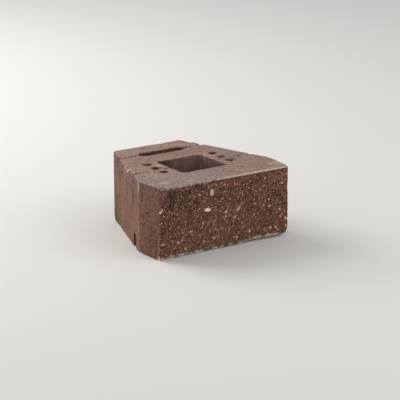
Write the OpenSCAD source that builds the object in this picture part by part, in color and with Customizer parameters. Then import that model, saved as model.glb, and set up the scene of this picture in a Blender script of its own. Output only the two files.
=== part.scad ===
// Split-face retaining-wall block, cast in one piece.
// The origin is at the middle of the underside. The split face looks along -Y and +Z is up.
// Distances called "back" are measured from the head of the split face.

/* [Block] */
// Width across the shoulders, where the sides are farthest apart
block_w = 430; // [400:5:520]
// Depth from the split face to the back
block_d = 400; // [370:5:480]
// Height of one course
block_h = 203; // [165:1:250]
// Width across the back
back_w = 232; // [200:2:300]
// How far back the shoulders lie
shoulder_back = 106; // [70:2:130]
// How far each smooth front panel flares out on its way to the shoulder
panel_flare = 8; // [0:1:14]
// How far the foot of the split face lies behind its head
face_lean = 10; // [0:1:16]
// Radius of the moulded upright corners
corner_r = 6; // [3:1:12]
// Radius of the broken corners of the split face
face_corner_r = 3; // [2:1:6]
// Worn bevel around the top and the underside
arris = 1.5; // [1:0.5:5]

/* [Core] */
// Width of the through core
core_w = 144; // [110:2:172]
// Length of the core from front to back
core_l = 132; // [110:2:160]
// Concrete between the split face and the core
face_wall = 104; // [70:2:115]
// Radius of the core's upright corners
core_r = 12; // [6:1:30]
// Width of the split notch in each side of the core, on the front score line
core_notch_w = 24; // [8:1:30]
// Depth of that notch
core_notch_depth = 7; // [2:0.5:10]

/* [Pin holes] */
// Diameter of a pin hole
pin_d = 20; // [14:0.5:26]
// Depth of a pin hole
pin_depth = 100; // [60:5:120]
// Distance between neighbouring holes of a row
pin_pitch = 42; // [36:1:52]
// Holes in each of the two rows
pins_in_row = 3; // [1:1:3]
// Distance of each row from the middle of the block
pin_row_x = 109; // [98:1:125]

/* [Rear slot] */
// Length of the through slot across the block
slot_l = 148; // [100:2:180]
// Width of the slot from front to back
slot_w = 30; // [18:1:40]

/* [Score lines] */
// How far back the front score line lies
front_score_back = 163; // [150:1:175]
// Distance from the rear score line to the back of the block
rear_score_inset = 77; // [60:1:90]
// Width of the front score line
front_score_w = 6; // [3:0.5:10]
// Width of the rear score line
rear_score_w = 9; // [3:0.5:14]
// Depth of both score lines
score_depth = 4; // [2:0.5:8]

/* [Side grooves] */
// Width of the groove that runs down each side behind the rear score line
rear_groove_w = 37; // [10:1:44]
// How far the middle of that groove's mouth lies behind the score line
rear_groove_skew = 11.5; // [0:0.5:14]
// Depth of that groove
rear_groove_depth = 8; // [3:0.5:12]
// Width of the groove below the front score line, at the top
front_groove_w = 20; // [10:1:28]
// Depth of that groove at the top
front_groove_depth = 7; // [3:0.5:12]
// Height over which that groove runs out to nothing
front_groove_run = 110; // [60:5:150]

/* [Pin channel] */
// How far back the middle of the channel in the underside lies
channel_back = 151; // [130:1:170]
// Width of the channel from front to back
channel_w = 24; // [16:1:30]
// Height of the channel
channel_h = 40; // [25:1:50]
// Radius of the channel's two upper corners
channel_r = 6; // [2:1:8]

/* [Hidden] */
$fn = 96;
hull_fn = 32;
over = 2; // how far a cut runs past the surface it opens
rear_score_back = block_d - rear_score_inset;
side_r = max(corner_r, arris); // no corner is sharper than its worn arris
face_r = max(face_corner_r, arris);
BROWN = [0.42, 0.29, 0.26];

// Centres of the rounded shoulder and rear corner on the right: x, distance back.
shoulder = [block_w / 2 - side_r, shoulder_back];
rear_corner = [back_w / 2 - side_r, block_d - side_r];

// Angle at which each side runs in towards the back.
side_angle = atan2(shoulder[0] - rear_corner[0], rear_corner[1] - shoulder[1]);

// Half the width of the block at a distance behind the shoulders.
function side_x(back) =
    shoulder[0] + side_r / cos(side_angle) - (back - shoulder_back) * tan(side_angle);

// Half the width of the block at a distance in front of the shoulders.
function panel_x(back) = block_w / 2 - panel_flare * (1 - back / shoulder_back);

// Centre of the right-hand corner of the split face, where its plane is at a distance back.
function face_corner(back) = [panel_x(back) - face_r, back + face_r];

// One corner of the outer shape, from its worn foot to its worn head.
module post(foot, head, r) {
    translate([foot[0], foot[1], 0]) cylinder(arris, r - arris, r, $fn = hull_fn);
    translate([head[0], head[1], block_h - arris]) cylinder(arris, r, r - arris, $fn = hull_fn);
}

// Outer shape: spans its six corners.
module outer_shape() {
    hull()
        for (flip = [0, 1])
            mirror([flip, 0, 0]) {
                post(face_corner(face_lean), face_corner(0), face_r);
                post(shoulder, shoulder, side_r);
                post(rear_corner, rear_corner, side_r);
            }
}

// Rectangle with round corners, centred.
module rounded_rect(w, l, r) {
    square([w - 2 * r, l], center = true);
    square([w, l - 2 * r], center = true);
    for (x = [-1, 1], y = [-1, 1])
        translate([x * (w / 2 - r), y * (l / 2 - r)]) circle(r);
}

// V section that opens along +Y at the level Y = 0. Its mouth may be skewed off its tip.
module vee(w, depth, skew = 0) {
    reach = (depth + over) / depth;
    polygon([[(skew - w / 2) * reach, over], [0, -depth], [(skew + w / 2) * reach, over]]);
}

// Cuts a section along the whole width of the block, at a distance back and a height.
module across(back, height) {
    translate([0, back, height])
        rotate([90, 0, 90])
            linear_extrude(block_w + 2 * over, center = true) children();
}

// Places its children on the top edge of both sides, with +Y pointing out of the side
// and +X towards the front.
module on_sides(back) {
    for (flip = [0, 1])
        mirror([flip, 0, 0])
            translate([side_x(back), back, block_h])
                rotate([0, 0, side_angle - 90]) children();
}

// The core, with a notch in each side where the front score line meets it.
module through_core() {
    translate([0, 0, -over])
        linear_extrude(block_h + 2 * over) {
            translate([0, face_wall + core_l / 2]) rounded_rect(core_w, core_l, core_r);
            for (side = [-1, 1])
                translate([side * core_w / 2, front_score_back])
                    rotate(side * 90) vee(core_notch_w, core_notch_depth);
        }
}

module rear_slot() {
    translate([0, rear_score_back, -over])
        linear_extrude(block_h + 2 * over) {
            square([slot_l - slot_w, slot_w], center = true);
            for (side = [-1, 1])
                translate([side * (slot_l - slot_w) / 2, 0]) circle(d = slot_w);
        }
}

// The front score line runs midway between the first and second hole of each row.
module pin_holes() {
    first_back = front_score_back - pin_pitch / 2;
    for (side = [-1, 1], i = [0 : pins_in_row - 1])
        translate([side * pin_row_x, first_back + i * pin_pitch, block_h - pin_depth])
            cylinder(h = pin_depth + over, d = pin_d);
}

module score_lines() {
    across(front_score_back, block_h) vee(front_score_w, score_depth);
    across(rear_score_back, block_h) vee(rear_score_w, score_depth);
}

module side_grooves() {
    on_sides(rear_score_back)
        translate([0, 0, -block_h - over])
            linear_extrude(block_h + 2 * over)
                vee(rear_groove_w, rear_groove_depth, -rear_groove_skew);
    // The front groove leans outwards on its way down, until it leaves the side.
    on_sides(front_score_back)
        rotate([atan2(front_groove_depth, front_groove_run), 0, 0])
            translate([0, 0, -front_groove_run])
                linear_extrude(front_groove_run + over) vee(front_groove_w, front_groove_depth);
}

module pin_channel() {
    across(channel_back, 0) rounded_rect(channel_w, 2 * channel_h, channel_r);
}

module concrete_block() {
    color(BROWN)
        translate([0, -block_d / 2, 0])
            difference() {
                outer_shape();
                through_core();
                rear_slot();
                pin_holes();
                score_lines();
                side_grooves();
                pin_channel();
            }
}

concrete_block();
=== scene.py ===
"""Split-face retaining wall block in brown cast concrete, with its studio stage.

The solid model is the frame. The block is modelled from a copy of it: its corners
are broken, its split face and rims are roughened, and it gets one concrete finish.
"""

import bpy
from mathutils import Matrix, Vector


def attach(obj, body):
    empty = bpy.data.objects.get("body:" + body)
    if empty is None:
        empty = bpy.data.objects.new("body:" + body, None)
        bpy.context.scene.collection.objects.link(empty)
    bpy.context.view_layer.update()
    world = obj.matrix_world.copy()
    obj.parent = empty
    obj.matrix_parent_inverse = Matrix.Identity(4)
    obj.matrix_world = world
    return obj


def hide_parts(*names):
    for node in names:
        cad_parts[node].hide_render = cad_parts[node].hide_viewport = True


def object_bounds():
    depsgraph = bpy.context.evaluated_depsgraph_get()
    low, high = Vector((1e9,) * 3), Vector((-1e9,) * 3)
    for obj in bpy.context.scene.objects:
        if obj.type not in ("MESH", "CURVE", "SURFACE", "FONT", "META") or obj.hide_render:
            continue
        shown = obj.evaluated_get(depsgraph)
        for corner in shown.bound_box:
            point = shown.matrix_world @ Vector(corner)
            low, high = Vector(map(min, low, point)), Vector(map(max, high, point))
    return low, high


bl_info = {
    "name": "Split-face Wall Block",
    "version": (1, 0, 0),
    "blender": (4, 5, 0),
    "location": "3D View > Sidebar > Wall Block",
    "description": "Models a split-face concrete wall block and its stage",
    "category": "Object",
}

import functools
import math
from types import SimpleNamespace

import bpy
from bpy.props import FloatProperty, FloatVectorProperty, IntProperty, PointerProperty
from mathutils import Vector

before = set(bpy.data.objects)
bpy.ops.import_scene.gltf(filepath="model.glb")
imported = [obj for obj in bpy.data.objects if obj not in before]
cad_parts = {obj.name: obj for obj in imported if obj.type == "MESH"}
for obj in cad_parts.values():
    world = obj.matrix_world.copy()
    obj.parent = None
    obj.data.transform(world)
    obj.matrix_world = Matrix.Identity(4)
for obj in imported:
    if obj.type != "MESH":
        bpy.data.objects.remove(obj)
CAD_LOW, CAD_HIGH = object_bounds()

NODE = "concrete_block"
PIECE = "split_face_block"
MM = 0.001

# Places on the block, in metres: what the relief and the finish line up with.
WIDTH = CAD_HIGH.x - CAD_LOW.x
HEIGHT = CAD_HIGH.z
FACE_Y = CAD_LOW.y
FACE_LEAN = 10 * MM
SHOULDER_Y = -94 * MM
PANEL_DEPTH = SHOULDER_Y - FACE_Y
PANEL_FLARE = 8 * MM
SIDE_ANGLE = math.radians(18.97)
SIDE_TAPER = math.tan(SIDE_ANGLE)
CORE = {"x": 72 * MM, "y": (-96 * MM, 36 * MM), "corner": 12 * MM}
CORE_NOTCH = {"half": 12 * MM, "depth": 7 * MM}
SLOT = {"x": 59 * MM, "y": 123 * MM, "half": 15 * MM}
PIN = {"x": 109 * MM, "y": (-58 * MM, -16 * MM, 26 * MM), "radius": 10 * MM}
FRONT_SCORE_Y = -37 * MM
FRONT_GROOVE = {"half": 10 * MM, "depth_mm": 7, "run": 110 * MM}
REAR_SCORE_Y = 123 * MM
REAR_GROOVE = {"front": 7 * MM, "back": 30 * MM, "depth": 8 * MM}

# How the copy of the solid is merged, and how close to its box a point may come.
MERGE_DISTANCE = 1e-6
BOX_MARGIN = 2e-5

# Relief: least depth of the broken face, run to rise of its spalled foot, smallest
# stone that stands out of it in millimetres, and roughness of a broken-off lump.
LEAST_DEPTH = 0.15 * MM
SPALL_SLOPE = 4
RAISED_STONE = 8
LUMP_ROUGHNESS = 0.45

# What the relief records on each point for the finish: the split face, worn edges,
# rims of the holes, their inner walls, and broken-off places.
MARKS = ("split", "worn", "rim", "inner", "broken")

# Pieces broken off: middle and half sizes in millimetres, and turn about Z in degrees.
CHIPS = [
    ((-178.5, 22, 206.5), (9, 34, 9), -19), ((-182.5, 8, 199), (6, 11, 13), -19),
    ((-99, -201, 204.5), (7, 5, 6), 0), ((-206, -200, 206), (17, 16, 7), 10),
    ((-216, -96, -2), (6, 12, 9), 0), ((122, 178, 207), (22, 34, 7), 19),
    ((-118, 199, -1), (9, 9, 11), 0), ((40, 202, 205.5), (24, 6, 7), 0),
]

# Stones in the split face: middle across and up, width and height in millimetres, tilt
# in degrees, and how pale (1) or pink (0) each one is.
STONES = [
    (-60.3, 120.5, 23, 10, -8, 1.0), (-47.5, 168, 13, 22, 6, 0.7),
    (1.2, 104, 9, 8, 0, 0.6), (42, 106, 18, 7, 32, 0.5),
    (1, 91, 9, 7, 0, 0.35), (33, 84, 14, 6, 18, 0.5),
    (126, 102.5, 6, 6, 0, 0.5), (142, 97.5, 7, 5, 0, 0.4),
    (95.5, 113, 6, 5, 0, 0.3), (142, 117, 6, 5, 0, 0.3),
    (177, 83, 7, 7, 0, 0.35), (198, 53.5, 8, 9, 0, 0.5),
    (81.5, 35, 7, 11, 0, 0.5), (148, 34, 8, 8, 0, 0.6),
    (166, 33, 8, 7, 0, 0.6), (200, 31.5, 8, 7, 0, 0.6),
    (-36.5, 34.3, 12, 7, -28, 0.15), (40.5, 25.3, 9, 6, 0, 0.7),
    (-151.8, 42.5, 6, 9, 10, 0.6), (-87, 167.5, 7, 5, 0, 0.6),
    (-157, 122.5, 6, 5, 0, 0.45), (-112.5, 67.7, 11, 6, 0, 0.3),
    (142.7, 15.5, 10, 7, 12, 0.6), (183.5, 158.5, 7, 6, 0, 0.6),
    (127, 180, 7, 6, 0, 0.5), (27, 181, 6, 5, 0, 0.4),
    (-6.5, 185, 6, 7, 0, 0.3), (-208, 141, 3.5, 17, -30, 0.95),
    (-74, 84, 4, 13, 16, 0.3), (-75, 72, 5, 6, 0, 0.4),
    (-201, 46, 10, 6, -20, 0.1), (-128, 22, 6, 8, 0, 0.5),
    (60, 60, 5, 7, 0, 0.2), (106, 62, 6, 4, 0, 0.3),
    (181, 62, 7, 6, 0, 0.4), (-30, 60, 5, 5, 0, 0.25),
    (111, 150, 5, 6, 0, 0.3), (76, 160, 6, 4, 10, 0.3),
    (-130, 98, 6, 4, 0, 0.35), (-180, 88, 5, 5, 0, 0.3),
    (213, 126, 4, 6, 0, 0.6), (212, 104, 4, 5, 0, 0.6),
    (214, 84, 4, 7, 0, 0.6), (210, 64, 4, 5, 0, 0.5),
]

# How the stones are painted: paleness from and up to, how strongly, and colour.
STONE_PAINTS = [
    (0.0, 0.36, 0.75, "stone_pink"),
    (0.36, 0.46, 0.85, "stone_dull"),
    (0.46, 0.65, 0.95, "stone_pink"),
    (0.65, 0.9, 0.6, "stone_pale"),
    (0.9, 1.1, 1.0, "stone_pale"),
]

# Pits in the split face: middle across and up, width and height in millimetres.
PITS = [
    (156, 193, 7, 6), (184, 194, 6, 5),
    (-196, 40, 9, 8), (-203, 68, 7, 7),
    (112, 23, 7, 6), (-160, 20, 9, 6),
    (-99, 196, 12, 7), (-18, 132, 6, 5),
    (66, 138, 6, 5), (20, 150, 6, 6),
    (-120, 132, 7, 5), (160, 130, 6, 6),
    (-60, 105, 10, 4),
]

# Stains and darker patches on the top: middle across and back, width and depth in
# millimetres, tilt in degrees, strength, and the colour they take. Those in the hole
# colour lay painted shade over the mouths of the pin holes.
TOP_STAINS = [
    (122, -52, 52, 40, 20, 0.65, "stain"), (152, -32, 44, 9, 14, 0.6, "pore"),
    (90, -38, 34, 9, 0, 0.6, "pore"), (-180, -36, 30, 14, 0, 0.85, "pore"),
    (-150, -37, 16, 11, 0, 0.75, "pore"), (-128, -38, 12, 10, 0, 0.6, "pore"),
    (-85, -35, 16, 12, 0, 0.45, "pore"), (96, 121, 40, 13, 0, 0.6, "pore"),
    (-112, 121, 80, 15, 0, 0.75, "pore"), (-3, 106, 156, 12, 0, 0.8, "pore"),
    (150, -14, 96, 70, 0, 0.3, "stain"), (-170, 22, 24, 9, 47, 0.8, "worn"),
    (-88, 60, 30, 18, 30, 0.25, "pore"), (181, -154, 12, 14, 20, 0.8, "worn"),
    (200, -160, 24, 50, -10, 0.35, "worn"), (-165, -150, 50, 40, 10, 0.25, "worn"),
    (-90, -2, 22, 34, 0, 0.4, "worn"), (-20, 88, 110, 40, 5, 0.25, "stain"),
    (80, 62, 60, 40, 10, 0.25, "stain"), (-30, 176, 22, 20, 0, 0.3, "pore"),
    (-105, -17, 44, 32, 0, 0.3, "stain"), (108, -16, 40, 32, 0, 0.4, "stain"),
    (-113, -57, 34, 26, 0, 0.7, "hole"), (-109, -16, 40, 30, 0, 0.8, "hole"),
    (-112, 27, 36, 30, 0, 0.8, "hole"), (108, -57, 40, 28, 0, 0.75, "hole"),
    (80, 122, 20, 20, 0, 0.8, "pore"), (-86, -36, 22, 7, -20, 0.7, "pore"),
    (-101, -36, 16, 6, -45, 0.6, "pore"), (-116, -52, 16, 9, -50, 0.7, "pore"),
    (106, -15, 34, 28, 0, 0.75, "hole"), (110, 27, 32, 30, 0, 0.8, "hole"),
]

# Stains on the split face: middle across and up, width and height in millimetres, tilt
# in degrees, and strength.
FACE_STAINS = [
    (-174, 168, 70, 70, -30, 0.72), (-140, 166, 80, 46, -20, 0.42),
    (-50, 170, 34, 44, 0, 0.4), (-95, 185, 60, 26, 0, 0.45),
    (15, 170, 30, 40, 0, 0.35), (120, 180, 60, 26, 0, 0.15),
    (85, 168, 90, 50, 0, 0.3), (-160, 60, 40, 30, 0, 0.3),
    (195, 60, 30, 60, 0, 0.15),
]

# Single patches: two on the split face, one redder and one paler, and a smooth smear at
# its left corner, all across and up, and loose rubble around the front left hole,
# across and back. Middle and size in millimetres.
REDDER = (165, 105, 120, 80)
PALER = (20, 85, 190, 150)
SMEAR = (-202, 190, 34, 40)
LOOSE_RUBBLE = (-110, -52, 36, 36)

# Nick in the top edge of the left side, pale flanks round a dark hollow: middle back
# and up, width and height in millimetres, tilt in degrees, strength, and colour.
NICK = [
    (45, 196, 34, 6, 27, 0.8, "worn"),
    (21, 202, 14, 8, 0, 0.8, "pore"),
    (-13, 200, 10, 8, 0, 0.8, "pore"),
    (23, 197, 25, 5, -54, 0.8, "stone_pale"),
]

# The stage: width of the floor, places and widths of the two soft lights, where they
# look, and how far the camera sees. All in metres.
FLOOR_WIDTH = 60.0
KEY_PLACE, KEY_WIDTH = (-1.5, 3.0, 2.1), 3.0
FILL_PLACE, FILL_WIDTH = (1.6, -2.6, 2.2), 2.4
LIT_PLACE = Vector((0.0, 0.0, 0.1))
CAMERA_REACH = 100.0


def in_metres(values):
    """Values given in millimetres."""
    return [value * MM for value in values]


def linear(red, green, blue):
    """A colour as seen, from 0 to 255, as the linear values that materials use."""

    def level(value):
        value /= 255
        return value / 12.92 if value <= 0.04045 else ((value + 0.055) / 1.055) ** 2.4

    return level(red), level(green), level(blue)


# --- Node building ---


def arithmetic(operation, reverse=False):
    """A method that adds a Math node for a number and another value."""

    def method(number, other):
        values = (other, number) if reverse else (number, other)
        return number.graph.math(operation, *values)

    return method


class Number:
    """A number on a node's output. Arithmetic on it adds Math nodes to its tree."""

    def __init__(self, graph, socket):
        self.graph, self.socket = graph, socket

    def __abs__(self):
        return self.graph.math("ABSOLUTE", self)

    def __neg__(self):
        return self * -1.0

    __add__ = __radd__ = arithmetic("ADD")
    __sub__, __rsub__ = arithmetic("SUBTRACT"), arithmetic("SUBTRACT", reverse=True)
    __mul__ = __rmul__ = arithmetic("MULTIPLY")
    __truediv__ = arithmetic("DIVIDE")


def varied(value, *patterns):
    """A value that patterns around 0.5 swing up and down, each by its amount."""
    for pattern, amount in patterns:
        value = value + (pattern - 0.5) * amount
    return value


def ease(value, low, high):
    """0 at low and 1 at high, eased between them. Low may be the larger."""
    node = value.graph.add(
        "ShaderNodeMapRange",
        {"interpolation_type": "SMOOTHSTEP"},
        {"Value": value, "From Min": low, "From Max": high},
    )
    return Number(value.graph, node.outputs["Result"])


def ease_mm(value, low, high):
    """The same between bounds in millimetres."""
    return ease(value, low * MM, high * MM)


def under_top(z, low, high):
    """The same between levels in millimetres under the top."""
    return ease(z, HEIGHT - low * MM, HEIGHT - high * MM)


def most(*values):
    """The largest of some numbers, the first of them on a node."""
    return functools.reduce(lambda a, b: a.graph.math("MAXIMUM", a, b), values)


def least(*values):
    """The smallest of some numbers, the first of them on a node."""
    return functools.reduce(lambda a, b: a.graph.math("MINIMUM", a, b), values)


class Graph:
    """Adds nodes to a shader or geometry tree."""

    def __init__(self, tree):
        self.tree = tree

    @staticmethod
    def pick(sockets, key):
        """A socket by its place, its identifier or its name."""
        if isinstance(key, int):
            return sockets[key]
        for socket in sockets:
            if socket.identifier == key:
                return socket
        return sockets[key]

    def add(self, kind, settings=None, inputs=None):
        """One node: its settings are set first, then its sockets' values or links."""
        node = self.tree.nodes.new(kind)
        for key, value in (settings or {}).items():
            setattr(node, key, value)
        for key, value in (inputs or {}).items():
            socket = self.pick(node.inputs, key)
            value = value.socket if isinstance(value, Number) else value
            if isinstance(value, bpy.types.NodeSocket):
                self.tree.links.new(value, socket)
            elif socket.type == "RGBA":
                socket.default_value = (*value[:3], 1.0)
            else:
                socket.default_value = value
        return node

    def math(self, operation, *values):
        """A Math node's number."""
        node = self.add(
            "ShaderNodeMath", {"operation": operation}, dict(enumerate(values))
        )
        return Number(self, node.outputs[0])

    def vector(self, operation, *values):
        """A Vector Math node's vector."""
        node = self.add(
            "ShaderNodeVectorMath", {"operation": operation}, dict(enumerate(values))
        )
        return node.outputs["Vector"]

    def scaled(self, vector, factor):
        """A vector or colour times a number."""
        node = self.add(
            "ShaderNodeVectorMath",
            {"operation": "SCALE"},
            {"Vector": vector, "Scale": factor},
        )
        return node.outputs["Vector"]

    def length(self, vector):
        """A vector's length."""
        node = self.add("ShaderNodeVectorMath", {"operation": "LENGTH"}, {0: vector})
        return Number(self, node.outputs["Value"])

    def flat_length(self, x, y):
        """The length of a flat vector."""
        return self.length(self.join(x, y, 0.0))

    def split(self, vector):
        """A vector's three numbers."""
        node = self.add("ShaderNodeSeparateXYZ", None, {0: vector})
        return [Number(self, socket) for socket in node.outputs]

    def join(self, x, y, z):
        """The vector of three numbers."""
        node = self.add("ShaderNodeCombineXYZ", None, {0: x, 1: y, 2: z})
        return node.outputs[0]

    def tall(self, where, share):
        """A place whose height counts for less, so that patterns run up and down."""
        return self.vector("MULTIPLY", where, (1.0, 1.0, share))

    def noise_node(self, where, *values):
        """A noise node of a scale, a detail and a roughness, the last two as wanted."""
        names = ("Vector", "Scale", "Detail", "Roughness")
        return self.add("ShaderNodeTexNoise", None, dict(zip(names, (where, *values))))

    def noise(self, where, *values):
        """Cloudy noise around 0.5; features are about 1 / scale metres across."""
        return Number(self, self.noise_node(where, *values).outputs[0])

    def patches(self, low, high, where, *values):
        """Patches of that noise: 0 where it is under low, 1 where it is over high."""
        return ease(self.noise(where, *values), low, high)

    def drift(self, where, scale, amount):
        """A place moved by up to about amount metres, so that outlines wander."""
        offset = self.noise_node(where, scale, 1.0).outputs[1]
        offset = self.vector("SUBTRACT", offset, (0.5, 0.5, 0.5))
        return self.vector("ADD", where, self.scaled(offset, 2 * amount))

    def cells(self, where, scale):
        """Grains about 1 / scale metres across: distance to the middle, and a random
        number from 0 to 1 for each grain."""
        node = self.add("ShaderNodeTexVoronoi", None, {"Vector": where, "Scale": scale})
        chance = self.split(node.outputs["Color"])[0]
        return Number(self, node.outputs["Distance"]), chance

    def blend(self, factor, below, above):
        """One colour laid over another."""
        node = self.add(
            "ShaderNodeMix",
            {"data_type": "RGBA"},
            {"Factor_Float": factor, "A_Color": below, "B_Color": above},
        )
        return self.pick(node.outputs, "Result_Color")

    def inside(self, place, middle, half, tilt=0.0):
        """1 at an ellipsoid's middle, 0 at its surface and less outside. It is turned
        about Z by tilt degrees."""
        local = self.vector("SUBTRACT", place, middle)
        if tilt:
            local = self.add(
                "ShaderNodeVectorRotate",
                {"rotation_type": "Z_AXIS"},
                {"Vector": local, "Angle": -math.radians(tilt)},
            ).outputs[0]
        return 1 - self.length(self.vector("DIVIDE", local, half))

    def inside_ellipse(self, flat, u, v, wide, high, tilt=0.0):
        """The same for a flat ellipse, whose middle and size are in millimetres."""
        half = (wide * MM / 2, high * MM / 2, 1.0)
        return self.inside(flat, (u * MM, v * MM, 0.0), half, tilt)

    def nearest_ellipse(self, flat, shapes):
        """How far inside the nearest of some ellipses a place is."""
        return most(*[self.inside_ellipse(flat, *shape) for shape in shapes])


# --- Patterns that the relief and the finish share ---


def behind_face(y, z):
    """Distance behind the leaning plane of the split face."""
    return y - (FACE_Y + FACE_LEAN) + z * (FACE_LEAN / HEIGHT)


def face_place(graph, x, y, z):
    """The place on the split face, flattened and shifted to where the listed stones
    lie. It runs on round the corners of the face."""
    round_corner = most(behind_face(y, z) - 8 * MM, 0.0)
    along = x + graph.math("SIGN", x) * round_corner
    return graph.join(along - 3.2 * MM, z + 1.1 * MM, 0.0)


def stone_field(graph, flat, stones, smallest=0):
    """How far inside the nearest listed stone a place is, without those under a size
    in millimetres."""
    wavering = graph.drift(flat, 160.0, 1.3 * MM)
    listed = [stone[:5] for stone in stones if max(stone[2:4]) >= smallest]
    return graph.nearest_ellipse(wavering, listed)


def pit_field(graph, flat):
    """How far inside the nearest listed pit a place is."""
    return graph.nearest_ellipse(graph.drift(flat, 200.0, 1.2 * MM), PITS)


def chip_field(graph, position):
    """How far inside the nearest broken-off lump a place is."""
    return most(
        *[
            graph.inside(position, in_metres(middle), in_metres(half), turn)
            for middle, half, turn in CHIPS
        ]
    )


def core_distance(graph, x, y):
    """Distance from the core's wall, more than 0 outside the core."""
    low, high = CORE["y"]
    corner = CORE["corner"]
    over_x = abs(x) - (CORE["x"] - corner)
    over_y = abs(y - (low + high) / 2) - ((high - low) / 2 - corner)
    reach = graph.flat_length(most(over_x, 0.0), most(over_y, 0.0))
    return reach + least(most(over_x, over_y), 0.0) - corner


def slot_distance(graph, x, y):
    """Distance from the rear slot's wall, more than 0 outside the slot."""
    over = most(abs(x) - SLOT["x"], 0.0)
    return graph.flat_length(over, y - SLOT["y"]) - SLOT["half"]


def pin_distance(graph, x, y):
    """Distance from the nearest pin hole's wall, more than 0 outside the holes."""
    across = abs(x) - PIN["x"]
    reaches = [graph.flat_length(across, y - row) for row in PIN["y"]]
    return least(*reaches) - PIN["radius"]


def side_fill(graph, position, x, y, z):
    """How far slurry fills the grooves in the sides, in metres."""
    at_side = ease(abs(x) + (y - SHOULDER_Y) * SIDE_TAPER, 0.198, 0.205)
    patchy = graph.noise(graph.tall(position, 0.4), 30.0)
    beyond = y - REAR_SCORE_Y
    rear = least(1 + beyond / REAR_GROOVE["front"], 1 - beyond / REAR_GROOVE["back"])
    rear = most(rear, 0.0) * REAR_GROOVE["depth"]
    front = most(1 - abs(y - FRONT_SCORE_Y) / FRONT_GROOVE["half"], 0.0)
    front = front * FRONT_GROOVE["depth_mm"] * MM
    front = front * ease(z, HEIGHT - FRONT_GROOVE["run"], HEIGHT)
    share = under_top(z, 2, 60) * (0.45 + 0.35 * ease(patchy, 0.35, 0.65))
    return at_side * (rear + front) * share


def notch_fill(x, y, z):
    """How far the notches in the core's sides are filled below the rim, in metres."""
    notch = most(1 - abs(y - FRONT_SCORE_Y) / CORE_NOTCH["half"], 0.0)
    at_core = ease(abs(x), CORE["x"] + 12 * MM, CORE["x"] + 8 * MM)
    at_core = at_core * ease(abs(x), CORE["x"] - 3 * MM, CORE["x"] - 0.5 * MM)
    return 0.95 * notch * CORE_NOTCH["depth"] * at_core * under_top(z, -2, 7)


def score_fill(graph, x, y, z, up):
    """How far slurry lifts the floor of the front score line, in metres."""
    score = ease_mm(abs(y - FRONT_SCORE_Y), 5.5, 3.5) * ease(up, 0.25, 0.5)
    filled = graph.patches(0.36, 0.5, graph.join(x, 0.0, 0.0), 42.0)
    filled = filled * ease(x, -0.17, -0.13)
    return score * under_top(z, 6, 5) * filled * (HEIGHT - 0.9 * MM - z)


def foot_lift(graph, x):
    """How high the foot of the split face is spalled away, in metres."""
    ragged = graph.noise(graph.join(x, 0.0, 0.0), 70.0, 4.0, 0.65)
    lift = 0.5 * MM + 2.5 * MM * ease(x, -0.19, -0.165)
    lift = lift + 5.5 * MM * ease(x, 0.055, 0.095)
    return most(varied(lift, (ragged, 7 * MM)), 0.0)


def split_depth(graph, flat, x, z, shape):
    """How far the broken face lies behind its plane, in metres."""
    low = ease(z, 0.95 * HEIGHT, 0.0)
    right = ease(x, 0.165, 0.212)
    head = under_top(z, 2, 14)
    broad = graph.noise(flat, 13.0)
    knobs, _ = graph.cells(graph.drift(flat, 45.0, 5 * MM), 62.0)
    grains, _ = graph.cells(graph.drift(flat, 120.0, 2 * MM), 150.0)
    bits, chance = graph.cells(flat, 300.0)
    fine = graph.noise(flat, 330.0, 2.0, 0.6)
    swell = (0.2 + 0.8 * low) * shape.split_swell * ease(broad, 0.3, 0.75)
    depth = (
        0.4 * MM
        + (swell + shape.split_knobs * knobs) * (1 - 0.8 * right) * (0.15 + 0.85 * head)
        + shape.split_grains * grains * (0.4 + 0.6 * head)
        + 1.6 * MM * ease(chance, 0.3, 0.0) * ease(bits, 0.7, 0.2)
        + 1.1 * MM * (fine - 0.4)
    )
    foot = ease_mm(z - foot_lift(graph, x), 7, 0)
    stones = ease(stone_field(graph, flat, STONES, RAISED_STONE), 0.0, 0.75)
    pits = ease(pit_field(graph, flat), 0.0, 0.6)
    depth = depth + 2.4 * MM * pits - 2.0 * MM * stones + shape.foot_break * foot
    return most(depth, LEAST_DEPTH)


# --- Sizes and colours ---


def length(name, description, default, high, low=0):
    """A length property, given in millimetres."""
    return FloatProperty(
        name=name,
        description=description,
        default=default * MM,
        min=low * MM,
        max=high * MM,
        unit="LENGTH",
        subtype="DISTANCE",
    )


def colour(name, description, *seen):
    """A colour property, given as seen."""
    return FloatVectorProperty(
        name=name,
        description=description,
        default=linear(*seen),
        min=0.0,
        max=1.0,
        size=3,
        subtype="COLOR",
    )


def power(name, description, default):
    """The power of a lamp, in watts."""
    return FloatProperty(
        name=name, description=description, default=default, min=0.0, unit="POWER"
    )


def angle(name, description, degrees):
    """An angle property, given in degrees."""
    return FloatProperty(
        name=name,
        description=description,
        default=math.radians(degrees),
        subtype="ANGLE",
        unit="ROTATION",
    )


class BlockShape(bpy.types.PropertyGroup):
    """Sizes of the block's relief."""

    grain: length("Grain", "Spacing of the points that carry the relief", 1.6, 6, 1)
    split_swell: length("Split swell", "Depth of broad hollows at the foot", 3.6, 10)
    split_knobs: length("Split knobs", "Depth between the coarse stones", 2.6, 10)
    split_grains: length("Split grains", "Depth between the small stones", 1.8, 5)
    foot_break: length("Foot break", "How far the foot of the face is broken", 4, 20)
    rim_wear: length("Rim wear", "How deep holes and core crumble", 1.2, 6)
    edge_wear: length("Edge wear", "Depth of nicks in the edges", 1.3, 6)
    corner_break: length("Corner break", "Radius of the broken foot corner", 20, 40)
    triangles: IntProperty(
        name="Triangles",
        description="Triangles that the finished block keeps",
        default=186000,
        min=20000,
        max=199000,
    )


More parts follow.
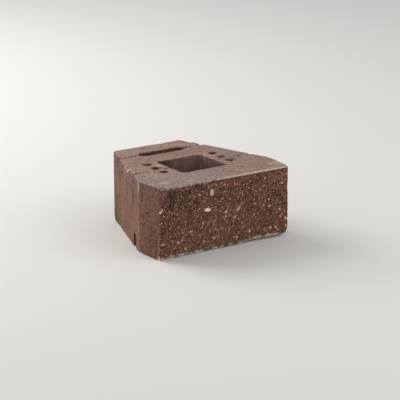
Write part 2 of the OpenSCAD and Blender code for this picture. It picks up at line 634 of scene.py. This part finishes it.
class BlockColours(bpy.types.PropertyGroup):
    """Colours of the concrete."""

    top: colour("Top", "Greyish cast skin of the top", 149, 128, 122)
    top_warm: colour("Top, warm", "Browner patches of the top", 148, 120, 110)
    side: colour("Side", "Cast skin low on the sides", 123, 86, 67)
    side_grey: colour("Side, grey", "Greyer skin high on the sides", 126, 94, 80)
    # Also laid as painted shade along the grooves of the sides and on the left of the
    # core.
    side_dark: colour("Side, dark", "Streaks down the sides", 98, 71, 54)
    paste: colour("Paste", "Broken concrete between the stones", 119, 82, 65)
    paste_rust: colour("Paste, rusty", "Rusty patches of it", 123, 76, 56)
    paste_grey: colour("Paste, grey", "Olive-grey patches of it", 98, 77, 59)
    # Also laid as the pale worn rim and painted highlight along the top of the split face.
    stone_pale: colour("Pale stone", "Palest stones", 254, 243, 232)
    stone_pink: colour("Pink stone", "Pinkish stones", 228, 192, 174)
    stone_dull: colour("Dull stone", "Small stones and grit", 216, 176, 152)
    core: colour("Core", "Walls of the core and holes", 122, 93, 86)
    # Painted shade in pores and pits; also darkens score lines, hollows and small spots on
    # the top.
    pore: colour("Pore", "Pores and pits", 58, 33, 24)
    # Painted shade deep in the pin holes and the slot, and at their mouths on the top.
    hole: colour("Hole", "Deep in the pin holes and the slot", 84, 47, 36)
    stain: colour("Stain", "Olive stain beside the pin holes", 112, 95, 72)
    # Also laid as painted highlight down the shoulders and along the top of the split
    # face.
    worn: colour("Worn edge", "Bare edges", 206, 184, 172)
    smear: colour("Smear", "Smooth smear at the corner of the face", 146, 100, 78)


class StageLook(bpy.types.PropertyGroup):
    """Floor, lights and camera."""

    floor: colour("Floor", "Plain pale floor", 234, 232, 229)
    sky: FloatProperty(
        name="Sky", description="Strength of the even light", default=0.5, min=0.0
    )
    key: power("Key light", "Power of the soft light from the left and behind", 118.0)
    fill: power("Fill light", "Power of the soft light from the front", 26.0)
    lens: FloatProperty(
        name="Lens",
        description="Focal length on a 36 mm sensor, in millimetres",
        default=162.0,
        min=20.0,
    )
    azimuth: angle("Azimuth", "How far round to the left the camera stands", -33.873)
    elevation: angle("Elevation", "How far up from level the camera stands", 16.898)
    camera: FloatVectorProperty(
        name="Camera",
        description="Place of the camera",
        default=(-2.6556, -4.0270, 1.5544),
        size=3,
        unit="LENGTH",
        subtype="TRANSLATION",
    )


# --- Modelling helpers ---


def deselect_all():
    """Leaves nothing selected, in object mode."""
    if bpy.context.mode != "OBJECT":
        bpy.ops.object.mode_set(mode="OBJECT")
    bpy.ops.object.select_all(action="DESELECT")


def choose(piece):
    """Makes one object the only selected and active one."""
    deselect_all()
    piece.select_set(True)
    bpy.context.view_layer.objects.active = piece


def apply_modifier(piece, name, kind, **settings):
    """Adds a modifier with its settings and applies it."""
    choose(piece)
    modifier = piece.modifiers.new(name, kind)
    for key, value in settings.items():
        setattr(modifier, key, value)
    bpy.ops.object.modifier_apply(modifier=modifier.name)


def copy_of_solid():
    """A merged copy of the block's solid, free of the frame."""
    choose(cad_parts[NODE])
    bpy.ops.object.duplicate()
    block = bpy.context.view_layer.objects.active
    block.parent = None
    for key in list(block.keys()):
        del block[key]
    block.name = block.data.name = PIECE
    block.data.materials.clear()
    bpy.ops.object.mode_set(mode="EDIT")
    bpy.ops.mesh.select_all(action="SELECT")
    bpy.ops.mesh.remove_doubles(threshold=MERGE_DISTANCE)
    bpy.ops.mesh.select_all(action="DESELECT")
    bpy.ops.mesh.select_mode(type="EDGE")
    bpy.ops.mesh.select_non_manifold()
    bpy.ops.object.mode_set(mode="OBJECT")
    if any(edge.select for edge in block.data.edges):
        raise RuntimeError("the merged copy of the solid is not closed")
    return block


def break_off(block, middle, half, turn, crumb):
    """Takes a rough lump out of the block."""
    deselect_all()
    bpy.ops.mesh.primitive_ico_sphere_add(
        subdivisions=5,
        radius=1.0,
        location=in_metres(middle),
        rotation=(0.0, 0.0, math.radians(turn)),
        scale=in_metres(half),
    )
    lump = bpy.context.view_layer.objects.active
    bpy.ops.object.transform_apply(location=True, rotation=True, scale=True)
    apply_modifier(
        lump,
        "Crumb",
        "DISPLACE",
        texture=crumb,
        texture_coords="GLOBAL",
        strength=LUMP_ROUGHNESS * min(half) * MM,
        mid_level=0.5,
    )
    apply_modifier(
        block, "Break", "BOOLEAN", object=lump, operation="DIFFERENCE", solver="EXACT"
    )
    bpy.data.objects.remove(lump)


def crumbled_rim(graph, position, x, y, z, pin, near_rim, shape):
    """How far the rims of the core, slot and holes have crumbled down, in metres."""
    rim = near_rim * graph.patches(0.4, 0.7, position, 75.0, 3.0, 0.6) * shape.rim_wear
    loose = graph.inside_ellipse(graph.join(x, y, 0.0), *LOOSE_RUBBLE)
    loose = ease(loose, 0.0, 0.45) * graph.patches(0.42, 0.6, position, 130.0)
    ragged = ease_mm(pin, 5, 0) * graph.patches(0.35, 0.6, position, 150.0)
    return rim + under_top(z, 9, 0) * (loose * 3.4 + ragged * 1.8) * MM


def uneven_core(graph, position, x, y, core):
    """Move that widens the core on its right and breaks back its rear left rim."""
    by_core = ease_mm(core, 14, 5)
    wider = 3.6 * MM * by_core * ease_mm(x, 58, 68)
    longer = by_core * ease_mm(y, 22, 32) * ease_mm(x, 25, -10)
    longer = longer * varied(3.5, (graph.noise(position, 60.0), 6)) * MM
    return graph.join(wider, longer, 0.0)


def swollen_right(graph, x, y, z, behind):
    """Move that bulges the split face on its right and crowns the right panel."""
    bulge = (1 - z / HEIGHT) * FACE_LEAN * ease(x, 0.04, 0.2)
    bulge = bulge * ease_mm(behind, 60, 0)
    crown = (y - (FACE_Y + SHOULDER_Y) / 2) / (PANEL_DEPTH / 2)
    crown = most(1 - crown * crown, 0.0) * ease(x, 0.19, 0.203)
    return graph.join(3 * MM * crown, -bulge, 0.0)


def rounded_foot(graph, x, y, z, behind, lift, shape):
    """Move that breaks the lower right corner of the split face round."""
    radius = shape.corner_break * ease_mm(behind, 90, 0)
    panel = WIDTH / 2 - PANEL_FLARE + (y - FACE_Y) * (PANEL_FLARE / PANEL_DEPTH)
    over = most(radius - (panel - x), 0.0)
    under = most(radius + lift - z, 0.0)
    reach = most(graph.flat_length(over, under), 1e-6)
    pull = most(1 - radius / reach, 0.0)
    return graph.join(-(over * pull), 0.0, under * pull)


def weathering(graph, position, normal, shape):
    """Where each point goes, and how much it belongs to each of the marks."""
    x, y, z = graph.split(position)
    _, facing, up = graph.split(normal)
    behind = behind_face(y, z)
    flat = face_place(graph, x, y, z)
    lift = foot_lift(graph, x)

    split = ease(-facing, 0.35, 0.8) * ease_mm(behind, 7, 3)
    depth = split_depth(graph, flat, x, z, shape) * split
    sideways = (graph.noise(flat, 90.0) - 0.5) * split * 3.0 * MM

    top = under_top(z, 9, 3)
    steep = ease(abs(up), 0.05, 0.35) * ease(abs(up), 0.99, 0.86)
    at_edge = most(top, ease_mm(z, 8, 3)) * steep
    nicks = graph.patches(0.46, 0.72, position, 105.0, 3.0, 0.6)
    bites = graph.patches(0.56, 0.72, position, 34.0)
    edge = at_edge * (0.1 + nicks + bites) * shape.edge_wear * (1 - split)

    core = core_distance(graph, x, y)
    slot = slot_distance(graph, x, y)
    pin = pin_distance(graph, x, y)
    near_rim = most(ease_mm(core, 4.5, 0), ease_mm(slot, 4.0, 0), ease_mm(pin, 4.5, 0))
    near_rim = near_rim * under_top(z, 8, 1)
    rim = crumbled_rim(graph, position, x, y, z, pin, near_rim, shape)

    inner = most(
        ease_mm(abs(core), 9, 2), ease_mm(abs(slot), 3, 1), ease_mm(abs(pin), 3, 1)
    )
    inner = inner * ease(abs(up), 0.7, 0.3)
    drag = graph.noise(graph.tall(position, 0.22), 120.0, 3.0)
    hollow = inner * (drag - 0.5) * 1.6 * MM

    groove = side_fill(graph, position, x, y, z)
    outward = groove * math.cos(SIDE_ANGLE) - notch_fill(x, y, z)
    filling = graph.join(
        graph.math("SIGN", x) * outward, groove * math.sin(SIDE_ANGLE), 0.0
    )

    corner = ease_mm(behind, 9, 2) * ease(abs(x), 0.196, 0.204)
    crumbs = graph.patches(0.42, 0.68, position, 90.0, 3.0, 0.6)
    skin = (graph.noise(position, 22.0, 3.0) - 0.5) * 0.7 * MM
    along = hollow - edge + skin - 0.1 * MM - corner * crumbs * 1.2 * MM
    moved = graph.scaled(normal, along)
    for move in (
        graph.join(sideways, depth, score_fill(graph, x, y, z, up) - rim),
        filling,
        uneven_core(graph, position, x, y, core),
        swollen_right(graph, x, y, z, behind),
        rounded_foot(graph, x, y, z, behind, lift, shape),
    ):
        moved = graph.vector("ADD", moved, move)
    target = graph.vector("ADD", position, moved)

    # The foot is spalled off on a slope that runs back under the block.
    new_x, new_y, new_z = graph.split(target)
    spalled = most(new_z, lift - most(behind, 0.0) / SPALL_SLOPE)
    target = graph.join(new_x, new_y, spalled)
    target = graph.vector("MAXIMUM", target, [v + BOX_MARGIN for v in CAD_LOW])
    target = graph.vector("MINIMUM", target, [v - BOX_MARGIN for v in CAD_HIGH])

    broken = ease(chip_field(graph, position), -0.14, -0.02)
    return target, (split, least(at_edge, 1.0), near_rim, inner, broken)


def weathering_nodes(shape):
    """Geometry nodes that roughen the split face, edges and rims, and that store the
    marks on each point."""
    tree = bpy.data.node_groups.new("Weathering", "GeometryNodeTree")
    for way in ("INPUT", "OUTPUT"):
        tree.interface.new_socket(
            "Geometry", in_out=way, socket_type="NodeSocketGeometry"
        )
    graph = Graph(tree)
    mesh = graph.add("NodeGroupInput").outputs[0]
    position = graph.add("GeometryNodeInputPosition").outputs[0]
    normal = graph.add("GeometryNodeInputNormal").outputs[0]
    target, marks = weathering(graph, position, normal, shape)
    for name, value in zip(MARKS, marks):
        mesh = graph.add(
            "GeometryNodeStoreNamedAttribute",
            {"data_type": "FLOAT", "domain": "POINT"},
            {"Geometry": mesh, "Name": name, "Value": value},
        ).outputs[0]
    mesh = graph.add(
        "GeometryNodeSetPosition", None, {"Geometry": mesh, "Position": target}
    ).outputs[0]
    graph.add("NodeGroupOutput", None, {0: mesh})
    return tree


# --- Finish ---


def new_material(name):
    """An empty node material, and the graph to fill it with."""
    material = bpy.data.materials.new(name)
    material.use_nodes = True
    material.node_tree.nodes.clear()
    return material, Graph(material.node_tree)


def coat(graph, colour, roughness, specular, **others):
    """Ends a material in one shader."""
    inputs = {
        "Base Color": colour,
        "Roughness": roughness,
        "Specular IOR Level": specular,
        **others,
    }
    shader = graph.add("ShaderNodeBsdfPrincipled", None, inputs)
    graph.add("ShaderNodeOutputMaterial", None, {"Surface": shader.outputs[0]})


def surroundings(graph):
    """What the finish needs to know about a place: where it lies and faces, its marks,
    and the grain that every surface has."""
    coordinate = graph.add("ShaderNodeTexCoord")
    at = SimpleNamespace(place=coordinate.outputs["Object"])
    at.x, at.y, at.z = graph.split(at.place)
    _, at.facing, at.up = graph.split(coordinate.outputs["Normal"])
    for name in MARKS:
        node = graph.add(
            "ShaderNodeAttribute",
            {"attribute_type": "GEOMETRY", "attribute_name": name},
        )
        setattr(at, name, Number(graph, node.outputs["Fac"]))
    at.flat = face_place(graph, at.x, at.y, at.z)
    at.behind = behind_face(at.y, at.z)
    at.sand_gap, at.sand = graph.cells(at.place, 420.0)
    at.grit_gap, at.grit = graph.cells(graph.drift(at.place, 200.0, 1 * MM), 230.0)
    at.mottle = graph.noise(at.place, 115.0, 4.0, 0.65)
    return at


def stained(graph, colours, surface, where, stains, soft, share=1.0):
    """A surface with listed stains laid over it, each soft towards its rim."""
    for *shape, amount, paint in stains:
        inside = ease(graph.inside_ellipse(where, *shape), 0.0, soft)
        surface = graph.blend(share * amount * inside, surface, getattr(colours, paint))
    return surface


def top_skin(graph, colours, at):
    """Pinkish-grey skin of the top, with its stains."""
    cloud = graph.noise(at.place, 13.0, 3.0)
    warm = ease(varied(0.7 * at.x + 0.9 * at.y, (cloud, 0.22)), -0.21, -0.08)
    skin = graph.blend(warm, colours.top, colours.top_warm)
    tone = varied(1.0, (at.mottle, 1.5), (cloud, 0.5))
    tone = tone + 0.05 * ease(at.y, 0.09, 0.14)
    skin = graph.scaled(skin, varied(tone, (at.grit, 0.36), (at.sand, 0.42)))
    ragged = graph.drift(graph.join(at.x, at.y, 0.0), 90.0, 5 * MM)
    return stained(graph, colours, skin, ragged, TOP_STAINS, 0.45)


def side_skin(graph, colours, at):
    """Brown skin of the sides, streaked by the mould, with painted shade along its
    grooves.
    """
    streak = graph.noise(graph.tall(at.place, 0.4), 34.0)
    broad = graph.noise(graph.tall(at.place, 0.5), 19.0, 3.0)
    high = ease(varied(at.z, (broad, 0.16)), 0.07, 0.16)
    rear = ease(at.y, 0.13, 0.16)
    on_wall = ease(at.y, SHOULDER_Y - 4 * MM, SHOULDER_Y + 4 * MM)
    panel_grey = 0.65 * (1 - on_wall) * ease(at.z, 0.04, 0.09)
    grey = most(0.85 * high, panel_grey)
    skin = graph.blend(grey, colours.side, colours.side_grey)

    olive = ease(broad, 0.48, 0.66) * (0.3 + 0.3 * ease(streak, 0.4, 0.6))
    # Painted shade along the upper parts of the grooves in the sides.
    front_groove_shade = ease_mm(abs(at.y - FRONT_SCORE_Y - 3 * MM), 20, 7)
    rear_groove_shade = ease_mm(abs(at.y - REAR_SCORE_Y - 12 * MM), 24, 10)
    groove = most(
        front_groove_shade * ease(at.z, 0.06, 0.13),
        rear_groove_shade * ease(at.z, 0.11, 0.17),
    )
    groove = groove * ease(abs(at.facing), 0.9, 0.6)
    low_rear = rear * (0.2 + 0.75 * ease(at.z, 0.13, 0.06))
    dark = most(olive, 0.55 * groove, low_rear, 0.4 * (1 - on_wall))
    skin = graph.blend(dark, skin, colours.side_dark)

    pink = graph.patches(0.48, 0.66, graph.tall(at.place, 0.5), 25.0)
    pink = pink * ease(at.z, 0.03, 0.11) * (1 - rear)
    skin = graph.blend(0.42 * on_wall * pink, skin, colours.top_warm)
    tone = varied(
        0.99,
        (at.mottle, 2.5 - 0.8 * on_wall),
        (broad, 1.1),
        (streak, 0.2 + 0.6 * on_wall),
    )
    tone = varied(tone - 0.05 * high, (at.grit, 0.34), (at.sand, 0.3))
    return graph.scaled(skin, tone)


def broken_skin(graph, colours, at):
    """Broken concrete: paste, grit and stones, with painted shade between the grains and
    in pores and pits. Also gives its bump height.
    """
    flat = at.flat
    chunk_gap, chunk = graph.cells(graph.drift(flat, 120.0, 2 * MM), 150.0)
    bit_gap, bit = graph.cells(flat, 300.0)
    _, speck = graph.cells(graph.drift(flat, 260.0, 1 * MM), 470.0)
    fine = graph.noise(flat, 260.0, 3.0, 0.65)
    patch = graph.noise(flat, 30.0, 3.0, 0.6)

    rust = graph.patches(0.5, 0.7, flat, 75.0, 3.0, 0.6)
    rust = most(
        0.7 * rust,
        0.3 * ease(chunk, 0.5, 0.85),
        0.5 * ease(graph.inside_ellipse(flat, *REDDER), 0.0, 0.6),
    )
    face = graph.blend(rust, colours.paste, colours.paste_rust)
    murk = most(
        *[
            amount * ease(graph.inside_ellipse(flat, *shape), 0.0, 0.6)
            for *shape, amount in FACE_STAINS
        ]
    )
    grey = graph.patches(0.54, 0.72, graph.drift(flat, 60.0, 4 * MM), 55.0)
    grey = most(0.75 * grey, 0.25 * ease(chunk, 0.4, 0.1), murk)
    face = graph.blend(grey, face, colours.paste_grey)
    pale = ease(graph.inside_ellipse(flat, *PALER), 0.0, 0.8)
    tone = 1.13 + 0.2 * pale + 0.1 * ease(at.z, 0.1, 0.03)
    tone = varied(
        tone, (fine, 2.9), (bit, 0.6), (chunk, 0.4), (patch, 1.1), (speck, 0.4)
    )
    # Darker where stained, and darker between the grains as painted shade.
    tone = tone - 0.42 * murk - 0.34 * ease(chunk_gap, 0.35, 0.75)
    tone = tone - 0.12 * ease(at.x, -0.07, -0.13) * ease(at.z, 0.05, 0.11)
    tone = tone + 0.08 * ease(at.x, 0.1, 0.16) * ease(at.z, 0.13, 0.17)
    face = graph.scaled(face, most(tone, 0.12))

    # Grit, small stones, and painted shade in pores and pits, fainter where stained.
    dull = ease(bit, 0.87, 1.0) * ease(bit_gap, 0.65, 0.35)
    dull = most(dull, ease(speck, 0.92, 1.0))
    pink = ease(chunk, 0.93, 0.97) * ease(chunk_gap, 0.5, 0.3)
    white = ease(bit, 0.978, 0.986) * ease(bit_gap, 0.6, 0.25)
    dark = ease(bit, 0.24, 0.04) * ease(bit_gap, 0.75, 0.35)
    dark = most(dark, ease(speck, 0.12, 0.0))
    dark = most(dark, ease(pit_field(graph, flat), 0.0, 0.35))
    clean = 1 - 0.7 * murk
    for share, paint in (
        (0.5 * dull, colours.stone_dull),
        (0.36 * pink, colours.stone_pink),
        (0.7 * white, colours.stone_pale),
        (0.75 * dark, colours.pore),
    ):
        face = graph.blend(share * clean, face, paint)

    for low, high, amount, paint in STONE_PAINTS:
        listed = [stone for stone in STONES if low <= stone[5] < high]
        inside = ease(stone_field(graph, flat, listed), -0.05, 0.2)
        inside = inside * varied(amount, (fine, 0.6))
        face = graph.blend(inside, face, getattr(colours, paint))
    smear = graph.inside_ellipse(graph.drift(flat, 70.0, 4 * MM), *SMEAR)
    face = graph.blend(0.6 * ease(smear, 0.0, 0.8), face, colours.smear)
    height = varied(-1.5 * MM * chunk_gap - 0.9 * MM * bit_gap, (fine, 2.0 * MM))
    return face, height - 1.5 * MM * dark


def core_skin(graph, colours, at):
    """Walls of the core and holes, with painted light and shade: lighter on the rear wall
    and towards the back of the right wall, darker towards the left.
    """
    drag = graph.noise(graph.tall(at.place, 0.2), 75.0, 3.0)
    rear_wall = ease(-at.facing, 0.5, 0.8)
    right_wall = ease_mm(at.x, 64, 70)
    leftward = ease(at.x, -0.01, -0.055)
    # Painted light and shade: the rear wall lighter, the right wall lighter towards the
    # back, the left darker.
    lit = 0.76 + 0.48 * rear_wall
    lit = lit + 0.3 * right_wall * ease_mm(at.y, -40, 8)
    lit = lit * (1 - 0.4 * leftward) * varied(1, (drag, 0.7 - 0.4 * right_wall))
    lit = varied(lit, (at.grit, 0.7 * ease(at.x, 0.0, -0.04) + 0.2))
    # Painted shade: the left of the core takes the dark colour.
    skin = graph.blend(0.8 * leftward, colours.core, colours.side_dark)
    # Painted light: a paler, lighter band on the right wall by its rear corner.
    painted_lit_corner = ease_mm(at.x, 69, 74) * ease_mm(at.y, 5, 15)
    skin = graph.blend(0.45 * painted_lit_corner, skin, colours.top)
    return graph.scaled(skin, lit * (1 + 0.3 * painted_lit_corner))


def hole_depth(graph, at):
    """How much a place belongs to the dark inside of a pin hole or of the slot, which is
    painted shade.
    """
    crumble = graph.noise(at.place, 140.0), 7 * MM
    pin = pin_distance(graph, at.x, at.y)
    slot = slot_distance(graph, at.x, at.y)
    toward_front = 3 * MM * ease(at.y, REAR_SCORE_Y, REAR_SCORE_Y - 12 * MM)
    sunk = under_top(at.z, 0.3, 1.4)
    at_pin = most(
        ease_mm(varied(pin, crumble), 3.4, 1.6),
        ease_mm(pin, 1.6, 0.6),
        sunk * ease_mm(pin, 6.5, 4.5),
    )
    at_slot = most(
        ease_mm(varied(slot, crumble) - toward_front, 2.6, 1),
        ease_mm(slot, 1.6, 0.6),
        sunk * ease_mm(slot, 5, 3.5),
    )
    return most(0.92 * at_pin, (0.85 - 0.3 * at.grit) * at_slot)


def spilled_face(graph, at, flat_top):
    """How far the broken look of the face spills over its corners."""
    ragged = graph.noise(at.place, 70.0, 4.0, 0.65)
    reach = 4 * MM + 13 * MM * (1 - at.z / HEIGHT)
    spill = varied(at.behind, (ragged, 30 * MM)) - reach
    return ease_mm(spill, 1.5, -1.5) * (1 - flat_top)


def worn_and_highlit_edges(graph, at, bare_stone, deep):
    """How far the edges take the worn colour, and how far the white one. Besides wear,
    these hold painted highlights: down the shoulders, and along the rim of the split face,
    which is a pale worn rim and a painted highlight. The rim of the top is whitest along
    the split face."""
    patchy = graph.patches(0.38, 0.6, at.place, 65.0, 3.0, 0.6)
    # Pale worn rim along the top of the split face, partly a painted highlight.
    along = (0.55 + 0.45 * ease(at.x, -0.08, 0.08)) * ease(at.x, -0.205, -0.19)
    steady = most(patchy, 0.3 + 0.4 * ease(at.x, -0.06, 0.06))
    ledge = ease(at.y, FACE_Y + 8 * MM, FACE_Y + 3 * MM) * under_top(at.z, 4, 2)
    lip = under_top(at.z, 4.2, 2.4) * ease(at.up, 0.9, 0.75)
    lip = lip * ease_mm(at.behind, 8, 4) * along * steady
    foot = ease_mm(at.z - foot_lift(graph, at.x), 7, 3)
    foot = bare_stone * foot * patchy
    # Painted highlight down the shoulders, stronger near the top and on the left.
    shoulder_highlight = (
        ease_mm(abs(at.y - SHOULDER_Y), 6, 2)
        * ease(abs(at.up), 0.6, 0.3)
        * (0.12 + 0.6 * ease(at.z, 0.16, 0.178))
        * (0.35 + 0.65 * ease(at.x, 0.0, -0.05))
        * (1 - at.inner)
    )
    wear_and_highlight = most(
        0.45 * at.worn * (1 - 0.6 * bare_stone) * patchy,
        0.35 * at.rim * patchy * (1 - at.inner) * (1 - deep),
        shoulder_highlight * (0.5 + 0.5 * patchy),
        0.8 * ledge * along * steady,
    )
    return wear_and_highlight, most(0.9 * lip, foot)


def concrete(colours):
    """Brown cast concrete: skin, streaked sides, broken face, core and worn edges. Shade
    in the holes, pores, pits, grooves and core, and highlights on some edges, are painted.
    """
    material, graph = new_material("brown_concrete")
    at = surroundings(graph)

    flat_top = ease(at.up, 0.45, 0.8)
    surface = graph.blend(
        flat_top, side_skin(graph, colours, at), top_skin(graph, colours, at)
    )
    # Pores in the skin, painted dark as the shade in them.
    pore_gap, pore_chance = graph.cells(at.place, 105.0)
    pores = ease(pore_gap, 0.28, 0.14) * ease(pore_chance, 0.80, 0.84)
    surface = graph.blend(0.6 * pores * (1 - at.split), surface, colours.pore)
    surface = graph.blend(0.95 * at.inner, surface, core_skin(graph, colours, at))
    # Painted shade deep in the pin holes and the slot.
    deep = hole_depth(graph, at)
    surface = graph.blend(deep * ease(at.z, 0.09, 0.1), surface, colours.hole)
    face, face_height = broken_skin(graph, colours, at)
    spill = spilled_face(graph, at, flat_top)
    bare_stone = most(at.split, 0.7 * at.broken, spill)
    surface = graph.blend(bare_stone, surface, face)
    at_left = ease((at.y - SHOULDER_Y) * SIDE_TAPER - at.x, 0.206, 0.211)
    wall = graph.join(at.y, at.z, 0.0)
    surface = stained(graph, colours, surface, wall, NICK, 0.6, at_left)
    # Worn edges, and painted highlights down the shoulders and along the rim of the split
    # face.
    wear_and_highlight, white = worn_and_highlit_edges(graph, at, bare_stone, deep)
    surface = graph.blend(wear_and_highlight, surface, colours.worn)
    surface = graph.blend(white, surface, colours.stone_pale)

    blotch = graph.noise(at.place, 48.0, 3.0, 0.6)
    skin_height = varied(
        -0.5 * MM * at.sand_gap - 0.8 * MM * at.grit_gap, (at.mottle, 1.0 * MM)
    )
    skin_height = skin_height - 1.4 * MM * pores
    height = skin_height * (0.7 + 0.3 * at.split - 0.2 * flat_top)
    height = height + face_height * at.split
    bump = graph.add(
        "ShaderNodeBump", None, {"Strength": 1.0, "Distance": 1.0, "Height": height}
    )
    coat(graph, surface, varied(0.88, (blotch, 0.1)), 0.25, Normal=bump.outputs[0])
    return material


# --- Operators ---


class SPLITBLOCK_OT_block(bpy.types.Operator):
    """Models the cast block from its solid: broken corners, rough face, finish"""

    bl_idname = "splitblock.block"
    bl_label = "Concrete Block"

    def execute(self, context):
        shape = context.scene.splitblock_shape
        block = copy_of_solid()
        crumb = bpy.data.textures.new("crumb", "CLOUDS")
        crumb.noise_scale = 0.007
        crumb.noise_depth = 3
        for middle, half, turn in CHIPS:
            break_off(block, middle, half, turn, crumb)
        grain = {"mode": "VOXEL", "voxel_size": shape.grain, "use_smooth_shade": True}
        apply_modifier(block, "Grain", "REMESH", **grain)
        nodes = weathering_nodes(shape)
        apply_modifier(block, "Weathering", "NODES", node_group=nodes)
        kept = min(1.0, shape.triangles / (2 * len(block.data.polygons)))
        thin = {"ratio": kept, "use_collapse_triangulate": True}
        apply_modifier(block, "Thin out", "DECIMATE", **thin)
        choose(block)
        bpy.ops.object.shade_smooth()
        block.data.materials.append(concrete(context.scene.splitblock_colours))
        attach(block, "root")
        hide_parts(NODE)
        return {"FINISHED"}


class SPLITBLOCK_OT_stage(bpy.types.Operator):
    """Adds the pale floor, the soft lights and the camera"""

    bl_idname = "splitblock.stage"
    bl_label = "Stage"

    def execute(self, context):
        look = context.scene.splitblock_stage
        deselect_all()
        bpy.ops.mesh.primitive_plane_add(size=FLOOR_WIDTH, location=(0.0, 0.0, 0.0))
        floor = context.view_layer.objects.active
        floor.name = "floor"
        paint, graph = new_material("pale_floor")
        coat(graph, look.floor, 0.9, 0.2)
        floor.data.materials.append(paint)

        self.soft_light("key_light", look.key, KEY_PLACE, KEY_WIDTH)
        self.soft_light("fill_light", look.fill, FILL_PLACE, FILL_WIDTH)

        world = context.scene.world or bpy.data.worlds.new("sky")
        context.scene.world = world
        world.use_nodes = True
        world.node_tree.nodes.clear()
        graph = Graph(world.node_tree)
        rays = graph.add("ShaderNodeLightPath").outputs
        kinds = ("Camera", "Glossy", "Transmission")
        shown = most(*[Number(graph, rays[f"Is {kind} Ray"]) for kind in kinds])
        skies = [
            graph.add("ShaderNodeBackground", None, {"Color": tint, "Strength": level})
            for tint, level in (((1, 1, 1), look.sky), (look.floor, 1.0))
        ]
        both = graph.add(
            "ShaderNodeMixShader",
            None,
            {0: shown, 1: skies[0].outputs[0], 2: skies[1].outputs[0]},
        )
        graph.add("ShaderNodeOutputWorld", None, {"Surface": both.outputs[0]})

        turn, rise = look.azimuth, look.elevation
        flat = math.cos(rise)
        back = Vector((math.sin(turn) * flat, -math.cos(turn) * flat, math.sin(rise)))
        deselect_all()
        bpy.ops.object.camera_add(location=look.camera)
        camera = context.view_layer.objects.active
        camera.name = "camera"
        camera.rotation_mode = "QUATERNION"
        camera.rotation_quaternion = (-back).to_track_quat("-Z", "Y")
        camera.data.lens = look.lens
        camera.data.clip_end = CAMERA_REACH
        context.scene.camera = camera
        context.scene.view_settings.view_transform = "Standard"
        return {"FINISHED"}

    @staticmethod
    def soft_light(name, watts, place, width):
        """Adds a square soft light that looks at the block."""
        deselect_all()
        bpy.ops.object.light_add(type="AREA", location=place)
        lamp = bpy.context.view_layer.objects.active
        lamp.name = name
        lamp.data.energy = watts
        lamp.data.size = width
        lamp.rotation_mode = "QUATERNION"
        aim = LIT_PLACE - Vector(place)
        lamp.rotation_quaternion = aim.to_track_quat("-Z", "Y")


class SPLITBLOCK_PT_panel(bpy.types.Panel):
    """Lists the sizes, colours and steps of the block"""

    bl_label = "Wall Block"
    bl_idname = "SPLITBLOCK_PT_panel"
    bl_space_type = "VIEW_3D"
    bl_region_type = "UI"
    bl_category = "Wall Block"

    def draw(self, context):
        layout, scene = self.layout, context.scene
        for title, group, operator in (
            ("Relief", scene.splitblock_shape, None),
            ("Colours", scene.splitblock_colours, SPLITBLOCK_OT_block.bl_idname),
            ("Stage", scene.splitblock_stage, SPLITBLOCK_OT_stage.bl_idname),
        ):
            layout.label(text=title)
            for key in group.__annotations__:
                layout.prop(group, key)
            if operator:
                layout.operator(operator)


CLASSES = (
    BlockShape,
    BlockColours,
    StageLook,
    SPLITBLOCK_OT_block,
    SPLITBLOCK_OT_stage,
    SPLITBLOCK_PT_panel,
)


def register():
    for cls in CLASSES:
        bpy.utils.register_class(cls)
    bpy.types.Scene.splitblock_shape = PointerProperty(type=BlockShape)
    bpy.types.Scene.splitblock_colours = PointerProperty(type=BlockColours)
    bpy.types.Scene.splitblock_stage = PointerProperty(type=StageLook)


def unregister():
    for name in ("splitblock_shape", "splitblock_colours", "splitblock_stage"):
        delattr(bpy.types.Scene, name)
    for cls in reversed(CLASSES):
        bpy.utils.unregister_class(cls)


def main():
    register()
    bpy.ops.splitblock.stage()
    bpy.ops.splitblock.block()


if __name__ == "__main__":
    main()
